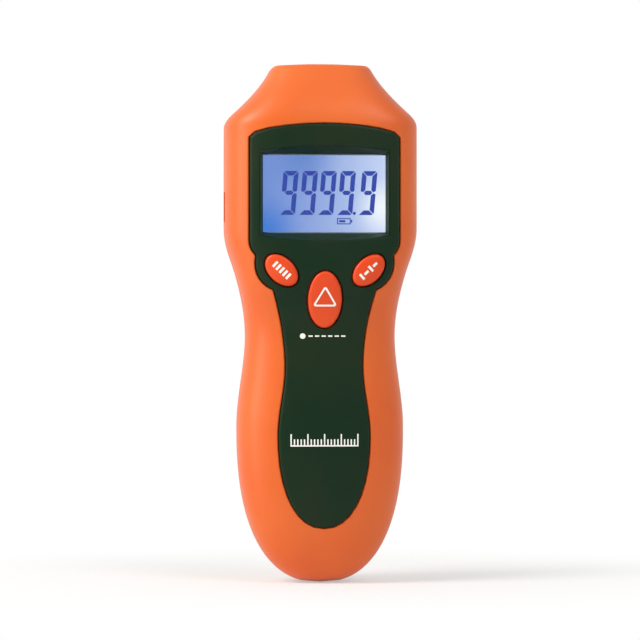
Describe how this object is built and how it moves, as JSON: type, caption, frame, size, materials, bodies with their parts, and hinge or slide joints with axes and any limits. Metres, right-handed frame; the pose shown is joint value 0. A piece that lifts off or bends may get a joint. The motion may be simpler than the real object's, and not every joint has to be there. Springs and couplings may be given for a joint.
{
  "type": "hand-held photo tachometer",
  "caption": "Hand-held photo tachometer, waisted orange case, dark green face panel with a recessed blue LCD, rubber keys, optics in the nose, battery door and tripod socket behind",
  "frame": {"origin": "Centre of the mouth of the threaded tripod socket in the middle of the back, 105 mm above the butt end; this is where the instrument is held on a stand.", "axes": "+Z runs along the body from the battery end to the optics, +Y points out of the back along the tripod socket, so the display faces -Y; +X is to the right for someone reading the display."},
  "size_m": [0.059, 0.0433, 0.1595],
  "materials": {
    "orange_abs": "satin, lightly textured",
    "dark_green_abs": "fine matte texture",
    "orange_silicone": "satin",
    "dark_silicone": "matte",
    "carbon_pill": "matte",
    "clear_pmma": "polished",
    "lcd_glass": "polished",
    "polariser_film": "matte film",
    "smoked_pmma": "polished",
    "white_abs": "smooth",
    "led_package": "smooth",
    "zebra_rubber": "matte",
    "solder_mask": "solder mask",
    "steel": "zinc plated",
    "brass": "turned",
    "black_moulding": "matte",
    "capacitor_sleeve": "shrink sleeve",
    "chip_ceramic": "fired ceramic",
    "polyimide": "film",
    "lead_sheath_red": "extruded sheath",
    "lead_sheath_black": "extruded sheath",
    "battery_sleeve": "plain sleeve",
    "foam": "open cell"
  },
  "bodies": {
    "body": {"front_shell": "orange_abs", "rear_shell": "orange_abs", "face_panel": "dark_green_abs", "lcd_window": "clear_pmma", "lcd_panes": "lcd_glass", "lcd_polarisers": "polariser_film", "lcd_frame": "white_abs", "light_guide": "clear_pmma", "backlight_led": "led_package", "contact_strip": "zebra_rubber", "main_board": "solder_mask", "board_screws": "steel", "controller_chip": "black_moulding", "crystal_can": "steel", "smoothing_capacitor": "capacitor_sleeve", "chip_parts": "chip_ceramic", "keypad_mat": "dark_silicone", "nose_window": "smoked_pmma", "optics_block": "black_moulding", "optics_screws": "steel", "laser_barrel": "brass", "laser_lens": "clear_pmma", "laser_diode": "steel", "receiver_lens": "clear_pmma", "photodiode": "black_moulding", "sensor_board": "solder_mask", "sensor_flex": "polyimide", "laser_leads": "lead_sheath_red", "battery": "battery_sleeve", "battery_terminals": "steel", "battery_snap": "black_moulding", "battery_leads": "lead_sheath_black", "door_insert": "brass", "case_screws": "steel", "tripod_insert": "brass"},
    "left_key": {"left_key": "orange_silicone", "left_key_bell": "dark_silicone", "left_key_pill": "carbon_pill"},
    "right_key": {"right_key": "orange_silicone", "right_key_bell": "dark_silicone", "right_key_pill": "carbon_pill"},
    "main_key": {"main_key": "orange_silicone", "main_key_bell": "dark_silicone", "main_key_pill": "carbon_pill"},
    "battery_door": {"battery_door": "orange_abs", "door_screw": "steel", "door_foam": "foam"}
  },
  "joints": [
    {"name": "left_key_press", "type": "slide", "parent": "body", "child": "left_key", "axis": [0, 1, 0], "range_m": [0, 0.0009], "stiffness_N_per_m": 1200, "springref_m": -0.0003, "deforming": ["left_key_bell"]},
    {"name": "right_key_press", "type": "slide", "parent": "body", "child": "right_key", "axis": [0, 1, 0], "range_m": [0, 0.0009], "stiffness_N_per_m": 1200, "springref_m": -0.0003, "deforming": ["right_key_bell"]},
    {"name": "main_key_press", "type": "slide", "parent": "body", "child": "main_key", "axis": [0, 1, 0], "range_m": [0, 0.0009], "stiffness_N_per_m": 1200, "springref_m": -0.0003, "deforming": ["main_key_bell"]},
    {"name": "battery_door_lift", "type": "slide", "parent": "body", "child": "battery_door", "axis": [0, 1, 0], "range_m": [0, 0.028]}
  ]
}
